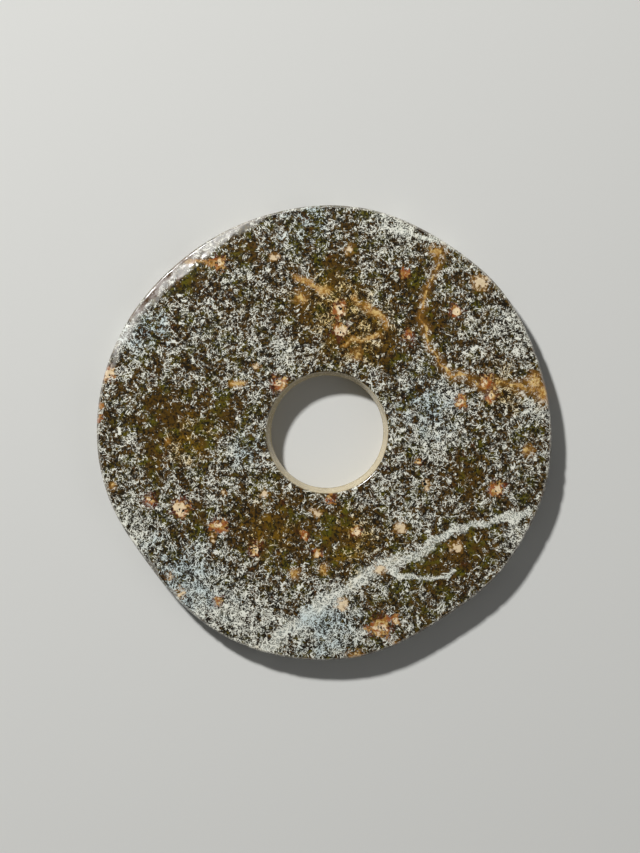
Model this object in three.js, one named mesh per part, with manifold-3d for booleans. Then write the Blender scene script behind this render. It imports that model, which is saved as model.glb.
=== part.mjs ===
// A Neolithic bi disc: one slab of mottled jade, ground round by hand, with a hole drilled from both faces.
// Millimetres, +Z up. The disc lies on its lower face, and the origin is on that face's plane, under the
// middle of the outline. Bearings are degrees round from +X towards +Y.

import * as THREE from "three";
import { mergeVertices } from "three/addons/utils/BufferGeometryUtils.js";
import Module from "manifold-3d";

// The slab.
const THICKNESS = 12; // between the two ground faces
const RIM_THICKNESS = 11.1; // what is left of it at the rim, because the upper face falls away
const FALL_OFF_RADIUS = 66; // where the upper face starts to fall away
const RIM_RADIUS = 92.1; // the circle that the rim would keep to if it weren't worn
const RIM_EDGE = 1.2; // rounding along the rim's two edges
const RIM_BULGE = 0.6; // how far the middle of the rim's side stands out past its edges
const STEPS_ROUND = 144;

// The hole: two tapered borings that meet at a ridge. Neither is quite upright or in line with the other.
const MOUTH_RADIUS = 24.5;
const WAIST_RADIUS = 22.55;
const MOUTH_EDGE = 0.5; // rounding round both mouths
const RIDGE_HEIGHT = 5.2; // above the lower face
const RIDGE_STEP = 0.7; // how much wider than the waist the lower boring starts
const RIDGE_RISE = 0.5; // height of that step, and of the ridge

// Where each boring's axis passes its mouth and the ridge, from the rim's own centre.
const UPPER_BORING = { mouth: new THREE.Vector2(0.9, -0.3), ridge: new THREE.Vector2(1.2, -0.1) };
const LOWER_BORING = { mouth: new THREE.Vector2(0.5, 0.3), ridge: new THREE.Vector2(0.9, 0.1) };

// The rim was ground in flats: each takes `depth` off the circle and fades out over `spread` degrees.
const WORN_FLATS = [
  { bearing: 17, depth: 1.5, spread: 24 },
  { bearing: 58, depth: 1.65, spread: 16 },
  { bearing: 122, depth: 2.1, spread: 37 },
  { bearing: 217, depth: 3.2, spread: 20 },
  { bearing: 303, depth: 3.3, spread: 18 },
  { bearing: 331, depth: 1.05, spread: 12 },
];
const WARP_FROM = 40; // inside this radius the slab keeps to circles round the hole
const WARP_TO = 84; // outside this radius it follows the worn rim

// Bevels ground on the upper edge: planes that reach `bite` in from the rim and fall `slope` degrees outwards.
const BEVELS = [
  { bearing: 128, bite: 5, slope: 12 },
  { bearing: 149, bite: 2.9, slope: 14 },
  { bearing: 43, bite: 1.5, slope: 21 },
];
const CUTTER_SIZE = 130; // sides of the box that cuts a bevel

// Flakes lost from the upper edge: `length` along the rim, `bite` in from it and `depth` down its side.
const FLAKES = [
  { bearing: 218, length: 13, bite: 2.2, depth: 2.6 },
  { bearing: 226.5, length: 11, bite: 1.7, depth: 2.2 },
  { bearing: 235.5, length: 6, bite: 1.2, depth: 1.4 },
  { bearing: 55, length: 8.5, bite: 1.1, depth: 1.5 },
];
const FLAKE_DETAIL = 5; // how finely the ball that cuts a flake is divided

const STONE = new THREE.MeshStandardMaterial({ color: 0x6d6350, roughness: 0.42, metalness: 0 });

const wasm = await Module();
wasm.setup();

// How far the rim reaches from its own centre at a bearing.
function rimRadiusAt(bearing) {
  const worn = WORN_FLATS.map((flat) => {
    const turn = THREE.MathUtils.euclideanModulo(bearing - flat.bearing + 180, 360) - 180;
    return flat.depth * Math.exp(-((turn / flat.spread) ** 2));
  });
  return RIM_RADIUS - worn.reduce((sum, depth) => sum + depth, 0);
}

// Half the slab's cross-section as a closed outline of radius and height, anticlockwise from the lower mouth.
function crossSection() {
  const mouthFlat = MOUTH_RADIUS + MOUTH_EDGE;
  const mouthWall = MOUTH_RADIUS - MOUTH_EDGE / 2;
  const rimFlat = RIM_RADIUS - RIM_EDGE;
  const rimSide = RIM_RADIUS - RIM_BULGE / 2;
  const section = new THREE.Path();
  section.moveTo(mouthFlat, 0);
  section.lineTo(rimFlat, 0);
  section.quadraticCurveTo(rimSide, 0, rimSide, RIM_EDGE);
  section.quadraticCurveTo(rimSide + RIM_BULGE, RIM_THICKNESS / 2, rimSide, RIM_THICKNESS - RIM_EDGE);
  section.quadraticCurveTo(rimSide, RIM_THICKNESS, rimFlat, RIM_THICKNESS);
  section.quadraticCurveTo((FALL_OFF_RADIUS + rimFlat) / 2, THICKNESS, FALL_OFF_RADIUS, THICKNESS);
  section.lineTo(mouthFlat, THICKNESS);
  section.quadraticCurveTo(MOUTH_RADIUS, THICKNESS, mouthWall, THICKNESS - MOUTH_EDGE);
  section.lineTo(WAIST_RADIUS, RIDGE_HEIGHT + RIDGE_RISE);
  section.lineTo(WAIST_RADIUS, RIDGE_HEIGHT);
  section.lineTo(WAIST_RADIUS + RIDGE_STEP, RIDGE_HEIGHT - RIDGE_RISE);
  section.lineTo(mouthWall, MOUTH_EDGE);
  section.quadraticCurveTo(MOUTH_RADIUS, 0, mouthFlat, 0);
  return section.getPoints(4);
}

// The hole's own centre at a height.
function holeCentreAt(height) {
  if (height > RIDGE_HEIGHT) {
    const climb = (height - RIDGE_HEIGHT) / (THICKNESS - RIDGE_HEIGHT);
    return UPPER_BORING.ridge.clone().lerp(UPPER_BORING.mouth, climb);
  }
  return LOWER_BORING.mouth.clone().lerp(LOWER_BORING.ridge, height / RIDGE_HEIGHT);
}

// Turns the section round the hole, then moves each point so that the outside follows the worn rim and the
// two borings keep to their own centres.
function slabGeometry() {
  const geometry = new THREE.LatheGeometry(crossSection(), STEPS_ROUND);
  geometry.rotateX(Math.PI / 2);
  const position = geometry.getAttribute("position");
  for (let i = 0; i < position.count; i += 1) {
    const x = position.getX(i);
    const y = position.getY(i);
    const radius = Math.hypot(x, y);
    const share = THREE.MathUtils.smoothstep(radius, WARP_FROM, WARP_TO);
    const worn = rimRadiusAt(THREE.MathUtils.radToDeg(Math.atan2(y, x))) - RIM_RADIUS;
    const stretch = 1 + (share * worn) / radius;
    const hole = holeCentreAt(position.getZ(i)).multiplyScalar(1 - share);
    position.setXY(i, x * stretch + hole.x, y * stretch + hole.y);
  }
  return geometry;
}

// A closed geometry as a solid that can be cut.
function solid(geometry) {
  const bare = geometry.clone();
  bare.deleteAttribute("normal");
  bare.deleteAttribute("uv");
  const merged = mergeVertices(bare, 1e-4);
  return new wasm.Manifold(
    new wasm.Mesh({
      numProp: 3,
      vertProperties: merged.getAttribute("position").array,
      triVerts: new Uint32Array(merged.index.array),
    }),
  );
}

// A cut solid as a geometry again.
function geometryOf(cutSolid) {
  const mesh = cutSolid.getMesh();
  const geometry = new THREE.BufferGeometry();
  geometry.setAttribute("position", new THREE.BufferAttribute(new Float32Array(mesh.vertProperties), 3));
  geometry.setIndex(new THREE.BufferAttribute(new Uint32Array(mesh.triVerts), 1));
  geometry.computeVertexNormals();
  return geometry;
}

// A box that takes off everything above a bevel's plane.
function bevelCutter({ bearing, bite, slope }) {
  const cutter = new THREE.BoxGeometry(CUTTER_SIZE, CUTTER_SIZE, CUTTER_SIZE);
  cutter.translate(0, 0, CUTTER_SIZE / 2);
  cutter.rotateY(THREE.MathUtils.degToRad(slope));
  cutter.translate(rimRadiusAt(bearing) - bite, 0, RIM_THICKNESS);
  cutter.rotateZ(THREE.MathUtils.degToRad(bearing));
  return solid(cutter);
}

// A ball outside the upper edge, whose size and place follow from the flake that it has to scoop out.
function flakeCutter({ bearing, length, bite, depth }) {
  const halfLengthSquared = (length / 2) ** 2;
  const out = (halfLengthSquared - bite ** 2) / (2 * bite);
  const up = (halfLengthSquared - depth ** 2) / (2 * depth);
  const ball = new THREE.IcosahedronGeometry(Math.hypot(bite + out, up), FLAKE_DETAIL);
  ball.translate(rimRadiusAt(bearing) + out, 0, RIM_THICKNESS + up);
  ball.rotateZ(THREE.MathUtils.degToRad(bearing));
  return solid(ball);
}

// The whole disc, with the middle of its outline over the origin.
function discGeometry() {
  const cutters = [...BEVELS.map(bevelCutter), ...FLAKES.map(flakeCutter)];
  const cut = cutters.reduce((left, cutter) => left.subtract(cutter), solid(slabGeometry()));
  const geometry = geometryOf(cut);
  geometry.computeBoundingBox();
  const middle = geometry.boundingBox.getCenter(new THREE.Vector3());
  geometry.translate(-middle.x, -middle.y, 0);
  return geometry;
}

const disc = new THREE.Mesh(discGeometry(), STONE);
disc.name = "jade_disc";

const bi = new THREE.Group();
bi.add(disc);

export default bi;
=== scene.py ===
# A Neolithic jade bi disc lying on its lower face, seen from straight above. Metres, +Z up.

import math

import bpy
import numpy as np
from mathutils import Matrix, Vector
from mathutils.bvhtree import BVHTree


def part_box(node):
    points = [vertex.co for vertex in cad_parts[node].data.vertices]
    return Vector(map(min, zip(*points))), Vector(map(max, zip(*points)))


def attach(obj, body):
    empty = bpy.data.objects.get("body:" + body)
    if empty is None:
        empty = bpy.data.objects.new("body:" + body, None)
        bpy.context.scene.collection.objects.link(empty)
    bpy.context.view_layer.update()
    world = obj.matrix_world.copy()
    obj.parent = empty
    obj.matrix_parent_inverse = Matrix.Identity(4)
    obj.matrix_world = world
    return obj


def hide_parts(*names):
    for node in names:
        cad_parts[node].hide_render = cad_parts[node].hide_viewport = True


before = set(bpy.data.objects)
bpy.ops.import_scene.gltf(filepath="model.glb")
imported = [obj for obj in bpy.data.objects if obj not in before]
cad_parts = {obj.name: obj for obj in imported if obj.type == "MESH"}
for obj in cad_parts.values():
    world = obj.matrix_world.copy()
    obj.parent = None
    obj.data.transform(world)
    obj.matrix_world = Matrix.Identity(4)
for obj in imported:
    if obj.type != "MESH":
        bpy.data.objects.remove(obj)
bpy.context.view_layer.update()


# ---------------------------------------------------------------------------------------------------------
# The disc: one slab of nephrite, ground flat and round by hand with wet sand, and bored from both faces
# with a tube drill. Its skin is laid over the solid slab by looking outwards from a ring buried in the
# stone, so that it follows the worn rim, the bevels, the flake scars and both borings.

MM = 0.001
ROUND_STEPS = 576
FACE_STEP = 0.78 * MM  # between rings of the upper face
UNDERSIDE_STEP = 2.2 * MM
EDGE_STEP = 0.75 * MM  # between rings round the rim and down the hole
CORE_INSET = 7 * MM  # how deep the buried ring lies behind the rim and behind the hole's wall
HAIR = 0.002 * MM  # how far aside a line is tried again

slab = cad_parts["jade_disc"]
slab_low, slab_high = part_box("jade_disc")
half_thickness = (slab_high.z - slab_low.z) / 2
mid_height = slab_low.z + half_thickness
disc_reach = (slab_high.x - slab_low.x) / 2

slab_surface = BVHTree.FromPolygons(
    [vertex.co for vertex in slab.data.vertices],
    [face.vertices for face in slab.data.polygons],
)


def along(bearing):
    """A level direction, from its bearing in radians."""
    return Vector((math.cos(bearing), math.sin(bearing), 0))


def surface_from(start, direction):
    """Where a line meets the slab's surface. It is tried again a hair aside if it slips between faces."""
    for aside in (0, HAIR, -HAIR):
        place = slab_surface.ray_cast(start + Vector((aside, -aside, aside)), direction)[0]
        if place:
            return place


def hole_middle():
    """The middle of the hole at half height, from how far its wall is on each side."""
    here = Vector((0, 0, mid_height))
    east, north, west, south = (surface_from(here, along(math.radians(turn))) for turn in (0, 90, 180, 270))
    return Vector(((east.x + west.x) / 2, (north.y + south.y) / 2, mid_height))


def round_the_edge():
    """Directions that fan over an edge of the slab, from straight up to straight down, as (outward, up)."""
    fan = [(out, half_thickness) for out in np.arange(0, CORE_INSET, EDGE_STEP)]
    fan += [(CORE_INSET, up) for up in np.arange(half_thickness, -half_thickness, -EDGE_STEP)]
    fan += [(out, -half_thickness) for out in np.arange(CORE_INSET, 0, -EDGE_STEP)]
    return [np.array(aim) / math.hypot(*aim) for aim in fan]


def ring_aims():
    """Every ring of the skin in order, as (share of the way from the hole to the rim, outward, up)."""
    hole_reach = (surface_from(hole_centre, along(0)) - hole_centre).length
    face_width = disc_reach - hole_reach - 2 * CORE_INSET
    face_shares = np.linspace(0, 1, round(face_width / FACE_STEP), endpoint=False)
    under_shares = np.linspace(1, 0, round(face_width / UNDERSIDE_STEP), endpoint=False)
    aims = [(share, 0, 1) for share in face_shares]
    aims += [(1, out, up) for out, up in round_the_edge()]
    aims += [(share, 0, -1) for share in under_shares]
    aims += [(0, -out, -up) for out, up in round_the_edge()]
    return aims


hole_centre = hole_middle()
RING_AIMS = ring_aims()
ring_share, ring_outward, ring_up = np.array(RING_AIMS).T[:, :, None]


def lay_skin():
    """The skin's points by ring and step round, and the way each was looked for from the buried ring."""
    points, ways = [], []
    for step in range(ROUND_STEPS):
        out = along(step * math.tau / ROUND_STEPS)
        wall = surface_from(hole_centre, out)
        rim = surface_from(Vector((0, 0, mid_height)) + 2 * disc_reach * out, -out)
        inner, outer = wall + CORE_INSET * out, rim - CORE_INSET * out
        looks = [outward * out + Vector((0, 0, up)) for _, outward, up in RING_AIMS]
        starts = [inner.lerp(outer, share) for share, _, _ in RING_AIMS]
        points.append([surface_from(start, look) for start, look in zip(starts, looks)])
        ways.append(looks)
    return np.array(points).swapaxes(0, 1), np.array(ways).swapaxes(0, 1)


skin, skin_way = lay_skin()
across_rings = np.roll(skin, -1, 0) - np.roll(skin, 1, 0)
along_rings = np.roll(skin, -1, 1) - np.roll(skin, 1, 1)
skin_normal = np.cross(across_rings, along_rings)
skin_normal /= np.linalg.norm(skin_normal, axis=2, keepdims=True)


# What the quarry, the grinding and the grave left in the stone, with some painted light and shade: black
# spots for the shade of tiny holes and a nick, and a pale band on the upper-left bevel that is partly a
# painted sheen.
# Each mark has a bearing in degrees, a share of the disc's reach, and a radius in millimetres, which is
# half the width where marks make up a line.

RUST_PITS = [
    (208, 0.71, 2.6), (201, 0.815, 1.8), (122, 0.875, 2.4), (83, 0.545, 2.1), (81, 0.45, 2.4),
    (132, 0.29, 2.2), (13, 0.616, 2), (18, 0.74, 2.2), (13, 0.75, 1.8), (43, 0.785, 1.9), (49, 0.56, 1.8),
    (239, 0.59, 2.2), (259, 0.46, 1.3), (288, 0.455, 1.4), (276, 0.29, 1.4), (165, 0.98, 2.6),
    (221, 0.615, 2.2), (238, 0.87, 1.5), (343, 0.43, 1.2), (63, 0.785, 1.3), (267, 0.53, 1.2),
    (342, 0.797, 2.1), (286, 0.885, 3), (173, 0.99, 1.1), (176, 0.985, 1.2), (291, 0.875, 1.4),
]
PALE_GRAINS = [
    (82, 0.813, 1.7), (106, 0.8, 1.6), (226, 0.375, 1.4), (136, 0.417, 1.2), (211, 0.505, 1.0),
    (223, 0.667, 1.5), (333, 0.495, 1.4), (309, 0.535, 1.8), (319, 0.764, 2.0), (276, 0.744, 2.0),
    (292, 0.644, 1.7), (265, 0.353, 1.8), (223, 0.92, 1.6), (228, 0.944, 1.7), (44, 0.95, 2.4),
]
OCHRE_GRAINS = [
    (100, 0.603, 2.4), (58, 0.935, 2.6), (67, 0.37, 2.0),
    (183, 0.683, 0.9), (194, 0.952, 1.3), (355, 0.9, 1.8), (258, 0.629, 1.8), (270, 0.598, 1.5),
    (278, 0.985, 2.4), (289, 0.98, 1.5), (10, 0.99, 3.4), (14, 0.95, 2.6),
]
OCHRE_STREAKS = [
    [(99, 0.685, 1.3), (89, 0.62, 1.2)],
    [(77, 0.6, 1.2), (68, 0.57, 1.6), (59, 0.545, 0.9)],
    [(76, 0.4, 0.8), (67, 0.45, 1.1), (61, 0.5, 0.8)],
    [(152, 0.46, 1.1), (146, 0.41, 0.9)],
    [(129, 0.97, 0.8), (124, 0.89, 1)],
]
OCHRE_VEIN = [
    (56, 0.905, 0.9), (54, 0.745, 0.8), (50, 0.662, 0.8), (43, 0.617, 0.8), (32, 0.593, 0.8),
    (24, 0.615, 0.9), (21, 0.673, 0.9), (16, 0.728, 1.2), (16, 0.805, 0.9), (13, 0.891, 1.1), (10, 1, 1.8),
]
WHITE_BANDS = [
    [
        (255, 0.975, 2.8), (262, 0.845, 3.1), (270, 0.752, 3), (276, 0.699, 2.4), (294, 0.629, 2.8),
        (307, 0.677, 2.1), (319, 0.685, 1.7), (328, 0.764, 1.7), (333, 0.846, 1.6), (339, 0.955, 1.4),
    ],
    [(294, 0.629, 1.6), (299, 0.72, 1.1), (306, 0.79, 0.9), (313, 0.83, 0.8)],
    [(55, 1, 1.2), (66, 0.955, 1.3), (74, 0.94, 1)],
]
# Painted shade: black spots standing in for tiny holes, and one at 149.6 degrees for a nick in the rim.
BLACK_SPOTS_AND_HOLE_SHADE = [
    (165, 0.982, 0.8), (163.5, 0.985, 0.5), (333, 0.495, 0.7), (334, 0.485, 0.6), (149.6, 0.985, 0.4),
]
CLEAR_STONE = [
    (87, 0.723, 7), (59, 0.768, 5), (131, 0.9, 5), (113, 0.88, 5), (99, 0.52, 5), (82, 0.4, 5),
    (47, 0.68, 7), (52, 0.467, 6), (174, 0.7, 12), (167, 0.474, 7), (189, 0.76, 6), (188, 0.524, 6),
    (214, 0.66, 5),
    (242, 0.478, 13), (277, 0.456, 11), (343, 0.653, 8), (325, 0.83, 9), (311, 0.78, 11), (286, 0.8, 5),
]
CLOUDY_STONE = [
    (230, 0.91, 15), (246, 0.9, 13), (206, 0.95, 10), (29, 0.95, 9), (6, 0.95, 6), (153, 1, 9),
    (194, 0.41, 5), (118, 0.42, 7), (70, 0.97, 10), (273, 0.86, 13), (15, 0.555, 7), (356, 0.47, 9),
    (331, 0.95, 8),
]
# The pale band along the upper-left bevel, which faces the key light: partly whitened stone, partly a
# painted sheen.
PALE_BEVEL_AND_SHEEN = [
    (106, 0.982, 0.7), (113, 0.972, 1.8), (120, 0.962, 2.1), (128, 0.955, 1.6), (137, 0.955, 1.3),
    (147, 0.962, 1.2), (156, 0.975, 1.3), (163, 0.98, 0.8),
]
BROWN_BEVEL = [(127, 0.975, 0.8), (133, 0.972, 1.1), (142, 0.973, 1.1), (150, 0.98, 0.8)]
WARM_STONE = [
    (85, 0.57, 17), (67, 0.45, 12), (240, 0.5, 12), (285, 0.5, 12), (15, 0.8, 10), (183, 0.6, 12),
]
COOL_STONE = [
    (225, 0.88, 20), (150, 0.9, 12), (95, 0.93, 14), (15, 0.45, 12), (270, 0.85, 14), (192, 0.35, 8),
]
FAR = 9  # the value of a mark that is nowhere near, in radii
LINE_WAVE = 0.5 * MM  # how far a line strays to either side
LINE_WAVE_SIZE = 7 * MM


def ripples(size, seed, waves=28):
    """A smooth random field over the skin, mostly from -1.5 to 1.5, with hollows about `size` apart."""
    random = np.random.default_rng(seed)
    field = np.zeros(skin.shape[:2])
    for _ in range(waves):
        wave = random.normal(size=3)
        wave *= math.tau / (size * random.uniform(0.7, 1.5) * np.linalg.norm(wave))
        field += np.sin(skin @ wave + random.uniform(0, math.tau))
    return field / math.sqrt(waves / 2)


def level_place(bearing, share):
    """Where a mark is, seen from above."""
    return disc_reach * share * np.array([math.cos(math.radians(bearing)), math.sin(math.radians(bearing))])


def from_line(line):
    """How far the skin's points are from a wavy line of marks, in half widths, right through the slab."""
    level = skin[..., :2] + LINE_WAVE * np.stack([ripples(LINE_WAVE_SIZE, seed) for seed in (61, 62)], -1)
    nearest = np.full(level.shape[:2], FAR)
    for start, end in zip(line, line[1:]):
        here, run = level_place(*start[:2]), level_place(*end[:2]) - level_place(*start[:2])
        share = np.clip((level - here) @ run / (run @ run), 0, 1)
        half_width = (start[2] + share * (end[2] - start[2])) * MM
        aside = np.linalg.norm(level - here - share[..., None] * run, axis=2)
        nearest = np.minimum(nearest, aside / half_width)
    return nearest


def from_marks(places):
    """How far the skin's points are from the nearest mark of the upper face, in radii of that mark."""
    depth = slab_high.z - skin[..., 2]
    nearest = np.full(depth.shape, FAR)
    for bearing, share, radius in places:
        aside = np.linalg.norm(skin[..., :2] - level_place(bearing, share), axis=2)
        nearest = np.minimum(nearest, np.hypot(aside, depth) / (radius * MM))
    return nearest


def patches(places):
    """Soft patches that go right through the slab, from 0 to 1."""
    strength = np.zeros(skin.shape[:2])
    for bearing, share, radius in places:
        aside = np.linalg.norm(skin[..., :2] - level_place(bearing, share), axis=2)
        strength += np.exp(-((aside / (radius * MM)) ** 2))
    return np.minimum(strength, 1)


def smooth(value, low, high):
    """0 below `low`, 1 above `high`, and a smooth step between."""
    share = np.clip((value - low) / (high - low), 0, 1)
    return share * share * (3 - 2 * share)


tilt = 1 - skin_normal[..., 2]  # 0 on the upper face and 1 on an upright wall
out_share = np.linalg.norm(skin[..., :2], axis=2) / disc_reach
near_rim = smooth(out_share, 0.85, 0.9)
sloping = smooth(tilt, 0.012, 0.05) * (1 - smooth(tilt, 0.6, 0.95))
upright = smooth(1 - np.abs(skin_normal[..., 2]), 0.2, 0.7)
marks = {
    "rust": from_marks(RUST_PITS),
    "pale": from_marks(PALE_GRAINS),
    "ochre": np.minimum.reduce([from_marks(OCHRE_GRAINS), *map(from_line, OCHRE_STREAKS)]),
    "vein": from_line(OCHRE_VEIN),
    "black": from_marks(BLACK_SPOTS_AND_HOLE_SHADE),
    "band": np.minimum.reduce([from_line(band) for band in WHITE_BANDS]),
    "bevel": from_line(PALE_BEVEL_AND_SHEEN),
    "strip": from_line(BROWN_BEVEL),
    "cloud": patches(CLOUDY_STONE) - patches(CLEAR_STONE),
    "warmth": patches(WARM_STONE) - patches(COOL_STONE),
    "worn": near_rim * sloping,
    "bored": (ring_outward < 0) * upright,
}


# The relief: slow hollows from the grinding, pits where the iron has rusted out, and a crumbled rim. All of
# it takes stone away, so the skin stays inside the slab.

GRINDING_HOLLOW = 0.05 * MM
GRINDING_RIPPLE = 0.02 * MM
PIT_DEPTH = 0.25 * MM
CRUMBLE_DEPTH = 0.3 * MM

rim_edge = (ring_outward > 0) * smooth(ring_outward, 0.3, 0.7) * smooth(np.abs(ring_up), 0.35, 0.6)
carved = GRINDING_HOLLOW * (1 + ripples(26 * MM, 1)).clip(0)
carved += GRINDING_RIPPLE * (1 + ripples(6 * MM, 2)).clip(0)
carved += PIT_DEPTH * (1 - smooth(marks["rust"], 0.1, 0.9)) * (1 + 0.5 * ripples(2 * MM, 3)).clip(0)
carved += CRUMBLE_DEPTH * rim_edge * smooth(ripples(4 * MM, 4), 0.6, 2)
skin = skin - skin_way * carved[..., None]


# The mesh, and how it lies when the skin is peeled off and spread flat: the upper face in the middle, the
# rim's side carried on outwards and the hole's wall inwards, and the underside apart, turned over.

UPPER_SPREAD = 0.0036 / MM  # size on the unwrapped square
UNDER_SPREAD = 0.00215 / MM
UPPER_MIDDLE = (0.401, 0.401)
UNDER_MIDDLE = (0.816, 0.816)
UNDER_PATTERN = (300 * MM, 0)  # where the stone's pattern is taken from on the underside

RINGS = len(RING_AIMS)
FAN_RINGS = len(round_the_edge())
face_end = int(np.argmax(ring_share == 1))
under_start = face_end + FAN_RINGS
under_end = RINGS - FAN_RINGS

step_out = np.array([along(step * math.tau / ROUND_STEPS)[:2] for step in range(ROUND_STEPS)])
gap = np.linalg.norm(np.diff(skin, axis=0, append=skin[:1]), axis=2)[..., None]
spread = np.concatenate([skin[..., :2], skin[:1, :, :2]])
for ring in range(face_end, under_start):
    spread[ring + 1] = spread[ring] + gap[ring] * step_out
for ring in reversed(range(under_end, RINGS)):
    spread[ring] = spread[ring + 1] - gap[ring] * step_out
turned_over = skin[..., :2] * (-1, 1)

quad_ring, quad_step = (index[..., None] for index in np.indices((RINGS, ROUND_STEPS)))
corner_ring = quad_ring + np.array([0, 1, 1, 0])
corner_step = (quad_step + np.array([0, 0, 1, 1])) % ROUND_STEPS
quads = (corner_ring % RINGS) * ROUND_STEPS + corner_step
beneath = ((quad_ring >= under_start) & (quad_ring < under_end))[..., None]
flat = np.where(beneath, turned_over[corner_ring % RINGS, corner_step], spread[corner_ring, corner_step])
unwrapped = np.where(beneath, flat * UNDER_SPREAD + UNDER_MIDDLE, flat * UPPER_SPREAD + UPPER_MIDDLE)
pattern = np.where(beneath, flat + UNDER_PATTERN, flat) / MM

disc_mesh = bpy.data.meshes.new("carved_jade")
disc_mesh.from_pydata(skin.reshape(-1, 3).tolist(), [], quads.reshape(-1, 4).tolist())
disc_mesh.shade_smooth()
for name, values in marks.items():
    mark = disc_mesh.attributes.new(name, "FLOAT", "POINT")
    mark.data.foreach_set("value", values.ravel())
pattern_place = disc_mesh.attributes.new("pattern", "FLOAT_VECTOR", "CORNER")
pattern_place.data.foreach_set("vector", np.insert(pattern.reshape(-1, 2), 2, 0, axis=1).ravel())
disc_mesh.uv_layers.new(name="OFBake").uv.foreach_set("vector", unwrapped.ravel())

disc = bpy.data.objects.new("carved_jade", disc_mesh)
bpy.context.scene.collection.objects.link(disc)
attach(disc, "root")
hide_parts("jade_disc")


# The stone itself, as one material: a dark brown and olive ground under a felt of short white fibres,
# which is thick and milky in some places and almost missing in others. The marks lie over it.

jade = bpy.data.materials.new("jade")
jade.use_nodes = True
disc_mesh.materials.append(jade)


def node(kind, inputs=(), **settings):
    """A node of the jade, with its sockets set to plain values or joined to other sockets."""
    made = jade.node_tree.nodes.new("ShaderNode" + kind)
    for name, value in settings.items():
        setattr(made, name, value)
    for name, value in dict(inputs).items():
        if isinstance(value, bpy.types.NodeSocket):
            jade.node_tree.links.new(value, made.inputs[name])
        else:
            made.inputs[name].default_value = value
    return made


def calc(operation, *values):
    """A number worked out from others."""
    return node("Math", enumerate(values), operation=operation).outputs[0]


def shift(operation, *values):
    """A place or direction worked out from others."""
    return node("VectorMath", enumerate(values), operation=operation).outputs[0]


def total(*values):
    """The sum of several numbers, each given alone or as (number, weight)."""
    parts = [calc("MULTIPLY", *value) if isinstance(value, tuple) else value for value in values]
    summed = parts[0]
    for part in parts[1:]:
        summed = calc("ADD", summed, part)
    return summed


def between(value, low, high, least=0, most=1):
    """A smooth step from `least` where the value is `low` to `most` where it is `high`."""
    inputs = {"Value": value, "From Min": low, "From Max": high, "To Min": least, "To Max": most}
    return node("MapRange", inputs, interpolation_type="SMOOTHSTEP").outputs["Result"]


def lay(share, over, under):
    """One colour laid over another, as thickly as `share` says."""
    return node("Mix", {0: share, 6: under, 7: over}, data_type="RGBA").outputs[2]


def paint(red, green, blue):
    """A colour from its strengths as they show on a screen, from 0 to 255."""
    shown = np.array([red, green, blue]) / 255
    light = np.where(shown <= 0.04045, shown / 12.92, ((shown + 0.055) / 1.055) ** 2.4)
    return (*light.tolist(), 1)


def mark_of(name):
    """One of the marks that the mesh carries."""
    return node("Attribute", attribute_name=name).outputs["Fac"]


def noise(place, size, seed, detail=1):
    """Smooth noise about 0, mostly from -1 to 1, with lumps of `size` millimetres. A seed is any number."""
    inputs = {"Vector": place, "W": seed, "Scale": 1 / size, "Detail": detail}
    lumps = node("TexNoise", inputs, noise_dimensions="4D").outputs[0]
    return calc("MULTIPLY", calc("SUBTRACT", lumps, 0.5), 4)


def bent(place, size, reach, seed):
    """A place pushed about by up to `reach` millimetres, so that straight things there grow crooked."""
    inputs = {"Vector": place, "W": seed, "Scale": 1 / size, "Detail": 1}
    push = node("TexNoise", inputs, noise_dimensions="4D")
    centred = shift("SUBTRACT", push.outputs["Color"], (0.5, 0.5, 0.5))
    return shift("MULTIPLY_ADD", centred, (4 * reach,) * 3, place)


def threads(place, size, width, seed):
    """Winding threads about `size` millimetres apart, from 0 beside them to 1 along their middle."""
    return between(calc("ABSOLUTE", noise(place, size, seed)), width, 0)


def needles(place, spacing, length, width, seed):
    """Straight fibres scattered at every angle, 0 outside them and up to 1 along the middle of the best."""
    inputs = {"Vector": shift("ADD", place, (seed, -seed, 0)), "Scale": 1 / spacing}
    cells = node("TexVoronoi", inputs, voronoi_dimensions="2D")
    offset = shift("SUBTRACT", inputs["Vector"], cells.outputs["Position"])
    chance = node("SeparateColor", {"Color": cells.outputs["Color"]})
    turn = calc("MULTIPLY", chance.outputs[0], math.tau)
    turned = node("VectorRotate", {"Vector": offset, "Angle": turn}, rotation_type="Z_AXIS").outputs[0]
    reach = node("VectorMath", {0: shift("DIVIDE", turned, (length / 2, width / 2, 1))}, operation="LENGTH")
    strength = between(chance.outputs[1], 0, 1, 0.35, 1)
    return calc("MULTIPLY", between(reach.outputs["Value"], 1, 0.3), strength)


# Places in the stone, in millimetres: through its thickness, and over its skin as it lies spread flat.
inside = shift("MULTIPLY", node("TexCoord").outputs["Object"], (1 / MM,) * 3)
on_skin = node("Attribute", attribute_name="pattern").outputs["Vector"]
crooked = bent(inside, 1.6, 0.4, 3)
crooked_on_skin = bent(on_skin, 2.2, 0.35, 5)


def ragged(name, wobble, seed):
    """How far away a mark is, 0 in its middle and 1 at its edge, with the edge broken up."""
    coarse, fine = noise(inside, 2.6, seed), noise(inside, 1.1, seed + 0.5, 2)
    return total(mark_of(name), (coarse, wobble), (fine, wobble))


cloud, warmth = mark_of("cloud"), mark_of("warmth")
in_band = between(ragged("band", 0.5, 7), 1.4, 0.3)

# How thickly the fibres lie: below 0 there are hardly any, and above 1 they hide the ground.
clumps, lumps = noise(inside, 6, 11, 2), noise(inside, 2.3, 12, 2)
USUAL_COVER = 0.37
cover = total((cloud, 0.3), (in_band, 0.65), (clumps, 0.26), (lumps, 0.42), USUAL_COVER)

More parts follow.
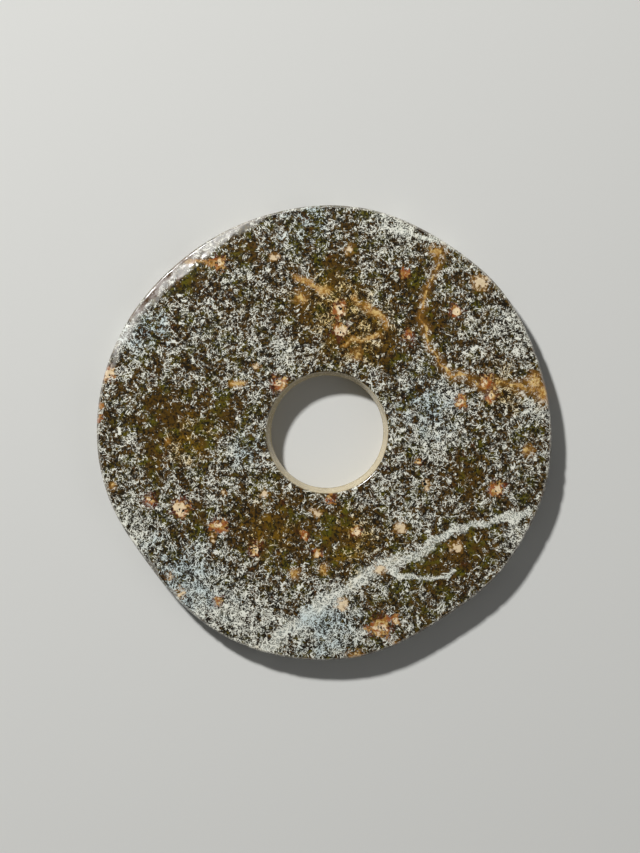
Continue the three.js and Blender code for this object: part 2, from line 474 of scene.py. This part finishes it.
GOLD = paint(126, 92, 8)
OLIVE = paint(88, 82, 6)
BROWN = paint(80, 56, 6)
RED_BROWN = paint(78, 32, 4)
DARK = paint(14, 9, 2)
ground = lay(between(total(noise(inside, 5, 21, 2), (warmth, -0.2)), -0.2, 0.7), OLIVE, BROWN)
ground = lay(between(total(noise(inside, 4, 24, 2), (warmth, 0.6)), 0.2, 1.2, 0, 0.8), GOLD, ground)
ground = lay(between(noise(inside, 3.5, 22, 2), 0.3, 1.1, 0, 0.75), RED_BROWN, ground)
shade = total(noise(crooked, 0.9, 23, 2), (cloud, 0.35))
ground = lay(between(shade, -0.7, 0.4, 0, 0.95), DARK, ground)

HAZE_COOL = paint(118, 126, 122)
HAZE_WARM = paint(134, 112, 48)
tint = total(warmth, (noise(inside, 5, 31, 2), 0.6))
haze = lay(between(tint, -0.5, 0.9), HAZE_WARM, HAZE_COOL)
milky = lay(between(total(cover, (noise(crooked, 0.8, 32, 2), 0.8)), 0.3, 1.7, 0, 0.55), haze, ground)
BAND = paint(178, 184, 176)
milky = lay(calc("MULTIPLY", in_band, between(noise(crooked, 1, 33), -0.8, 0.7, 0.1, 0.65)), BAND, milky)

FELT = [(0.72, 0.9), (1, 1.5), (1.5, 2.4)]  # spacing and length of its fibres, in millimetres
LONG_FIBRES = [(2.8, 4.2), (4.5, 6.5)]
FIBRE_WIDTH = 0.42  # in millimetres
THREAD_SPACING = 3
THREAD_WIDTH = 0.2  # a share of the noise's height


def strewn(kinds, seed):
    """Fibres of several lengths, one layer on another."""
    layers = [needles(crooked_on_skin, *kind, FIBRE_WIDTH, seed + 17 * i) for i, kind in enumerate(kinds)]
    highest = layers[0]
    for layer in layers[1:]:
        highest = calc("MAXIMUM", highest, layer)
    return highest


felt = calc("MULTIPLY", strewn(FELT, 0), between(total(cover, (noise(crooked, 1, 43), 0.45)), 0.1, 0.9))
loose = between(total(cover, (noise(crooked, 1.6, 44), 0.5)), 0, 0.8)
fibres = calc("MULTIPLY", strewn(LONG_FIBRES, 91), loose)
matted = between(total(cover, (noise(crooked, 1.4, 45), 0.6)), 0.3, 1)
web = calc("MULTIPLY", threads(crooked, THREAD_SPACING, THREAD_WIDTH, 41), matted)
frost = between(calc("MAXIMUM", calc("MAXIMUM", felt, fibres), web), 0.06, 0.6)

FROST_COOL = paint(203, 216, 214)
FROST_WHITE = paint(230, 230, 216)
FROST_CREAM = paint(232, 204, 138)
frosty = lay(between(tint, -0.2, -1.3), FROST_COOL, FROST_WHITE)
frosty = lay(between(tint, 0.2, 1.3), FROST_CREAM, frosty)
stone = lay(frost, frosty, milky)

# Ochre that has seeped along a crack and between the grains, and grains of pale stone.
OCHRE = paint(160, 110, 38)
OCHRE_PALE = paint(232, 200, 130)
vein = ragged("vein", 0.4, 61)
grain = ragged("ochre", 0.6, 62)
ochre = lay(between(noise(crooked, 1.2, 63, 2), -0.5, 0.7), OCHRE_PALE, OCHRE)
stone = lay(between(vein, 3.8, 0.8, 0, 0.3), OCHRE, stone)
stone = lay(between(vein, 0.75, 0.25, 0, 0.85), ochre, stone)
stone = lay(between(grain, 2, 0.9, 0, 0.4), OCHRE, stone)
stone = lay(between(grain, 1.0, 0.4, 0, 0.75), ochre, stone)

PALE = paint(236, 214, 176)
pale = ragged("pale", 0.8, 64)
stone = lay(between(pale, 1.8, 0.9, 0, 0.4), OCHRE, stone)
stone = lay(between(pale, 1.0, 0.4, 0, 0.8), PALE, stone)

# Rusted iron: a brown-red stain, an orange ring and a cream floor. The black at the pits' middles and the
# few black spots are painted shade, standing in for tiny holes and a nick in the rim that the mesh doesn't
# have.
RUST = paint(152, 80, 28)
RUST_DARK = paint(84, 34, 14)
BLACK = paint(12, 8, 6)
iron = calc("MULTIPLY", noise(inside, 9, 70), 0.45)
stain, ring, crust = ragged("rust", 0.85, 71), ragged("rust", 0.8, 72), ragged("rust", 0.7, 73)
rusty = lay(between(lumps, -0.5, 0.5), RUST, ochre)
stone = lay(between(stain, 1.9, 1.0, 0, 0.7), RUST_DARK, stone)
stone = lay(between(total(ring, iron), 1.4, 0.8, 0, 0.85), rusty, stone)
stone = lay(between(calc("SUBTRACT", crust, iron), 0.8, 0.3, 0, 0.9), PALE, stone)
# Painted shade: black at the middle of each rust pit, standing in for the dark of a tiny hole.
stone = lay(between(total(mark_of("rust"), noise(crooked, 0.8, 74)), 0.2, -0.2), BLACK, stone)
# Painted shade of tiny holes and a rim nick, from the black spots.
stone = lay(between(ragged("black", 0.4, 75), 1.3, 0.8), BLACK, stone)

# Where grinding, knocks and handling have opened the stone's skin it is paler and duller. The pale band on
# the upper-left bevel, which faces the key light, is partly whitened stone and partly a painted sheen. A
# brown strip shows along the bevel, and drill sand has left the wall of the hole cream with faint lines
# round it.
WORN = paint(206, 200, 188)
BEVEL_PALE_AND_SHEEN = paint(212, 207, 198)
STRIP = paint(78, 52, 26)
WALL = paint(204, 190, 156)
WALL_STREAK = paint(120, 96, 62)
worn = total(mark_of("worn"), (noise(crooked, 1.2, 81, 2), 0.3))
bevel_pale_and_sheen = between(ragged("bevel", 0.5, 82), 1.9, 0.3)
# Painted sheen, partly whitened stone: a pale colour laid only along the upper-left bevel that faces the
# key light.
stone = lay(calc("MULTIPLY", bevel_pale_and_sheen, 0.28), BEVEL_PALE_AND_SHEEN, stone)
stone = lay(between(ragged("strip", 0.25, 83), 1.2, 0.6, 0, 0.85), STRIP, stone)
stone = lay(between(worn, 0.5, 1.3, 0, 0.4), WORN, stone)
round_wall = shift("MULTIPLY", inside, (0.15, 0.15, 1.6))
wall = lay(between(noise(round_wall, 1, 84, 3), 0, 1.2), WALL_STREAK, WALL)
stone = lay(calc("MULTIPLY", mark_of("bored"), 0.9), wall, stone)

# The polish: the fibres stand a trifle above the softer ground and shine less than it does.
FIBRE_HEIGHT = 0.04 * MM
BUMP_STRENGTH = 0.2
POLISHED = 0.2
ROUGHEST = 0.58
NEPHRITE_IOR = 1.61

fibre_bump = node("Bump", {"Strength": BUMP_STRENGTH, "Distance": FIBRE_HEIGHT, "Height": frost})
dull = total((frost, 0.7), (clumps, 0.2), (mark_of("worn"), 0.9), (bevel_pale_and_sheen, 0.8))
polish = jade.node_tree.nodes["Principled BSDF"]
polish.inputs["IOR"].default_value = NEPHRITE_IOR
jade.node_tree.links.new(stone, polish.inputs["Base Color"])
jade.node_tree.links.new(between(dull, 0, 2, POLISHED, ROUGHEST), polish.inputs["Roughness"])
jade.node_tree.links.new(fibre_bump.outputs["Normal"], polish.inputs["Normal"])


# ---------------------------------------------------------------------------------------------------------
# The floor: a plain pale table, which isn't part of the disc.

FLOOR_REACH = 3
TABLE = paint(206, 206, 202)
TABLE_ROUGHNESS = 0.8

floor_mesh = bpy.data.meshes.new("floor")
floor_corners = [(x * FLOOR_REACH, y * FLOOR_REACH, 0) for x, y in ((-1, -1), (1, -1), (1, 1), (-1, 1))]
floor_mesh.from_pydata(floor_corners, [], [(0, 1, 2, 3)])
floor = bpy.data.objects.new("floor", floor_mesh)
bpy.context.scene.collection.objects.link(floor)

pale_table = bpy.data.materials.new("pale_table")
pale_table.use_nodes = True
pale_table.node_tree.nodes["Principled BSDF"].inputs["Base Color"].default_value = TABLE
pale_table.node_tree.nodes["Principled BSDF"].inputs["Roughness"].default_value = TABLE_ROUGHNESS
floor_mesh.materials.append(pale_table)


# ---------------------------------------------------------------------------------------------------------
# The light: a soft box to the upper left, a large weak one opposite it, and plain light from all round.

WORLD_STRENGTH = 0.1


def soft_box(name, place, size, watts):
    """A square lamp that faces the disc."""
    lamp = bpy.data.lights.new(name, "AREA")
    lamp.size, lamp.energy = size, watts
    box = bpy.data.objects.new(name, lamp)
    box.location = place
    box.rotation_euler = (-Vector(place)).to_track_quat("-Z", "Y").to_euler()
    bpy.context.scene.collection.objects.link(box)


soft_box("key", (-0.85, 1.12, 1.4), 0.16, 44)
soft_box("fill", (1.3, -0.5, 1.2), 1.2, 3)

world = bpy.data.worlds.new("studio")
world.use_nodes = True
world.node_tree.nodes["Background"].inputs["Color"].default_value = (1, 1, 1, 1)
world.node_tree.nodes["Background"].inputs["Strength"].default_value = WORLD_STRENGTH
bpy.context.scene.world = world
bpy.context.scene.view_settings.view_transform = "Standard"


# ---------------------------------------------------------------------------------------------------------
# The camera, straight above.

CAMERA_HEIGHT = 1.04  # above the upper face
VIEW_WIDTH = 0.256  # of the upper face's plane
VIEW_MIDDLE = (-0.00164, 0.00258)

lens = bpy.data.cameras.new("camera")
lens.sensor_fit = "HORIZONTAL"
lens.lens = lens.sensor_width * CAMERA_HEIGHT / VIEW_WIDTH
camera = bpy.data.objects.new("camera", lens)
camera.location = (*VIEW_MIDDLE, slab_high.z + CAMERA_HEIGHT)
bpy.context.scene.collection.objects.link(camera)
bpy.context.scene.camera = camera
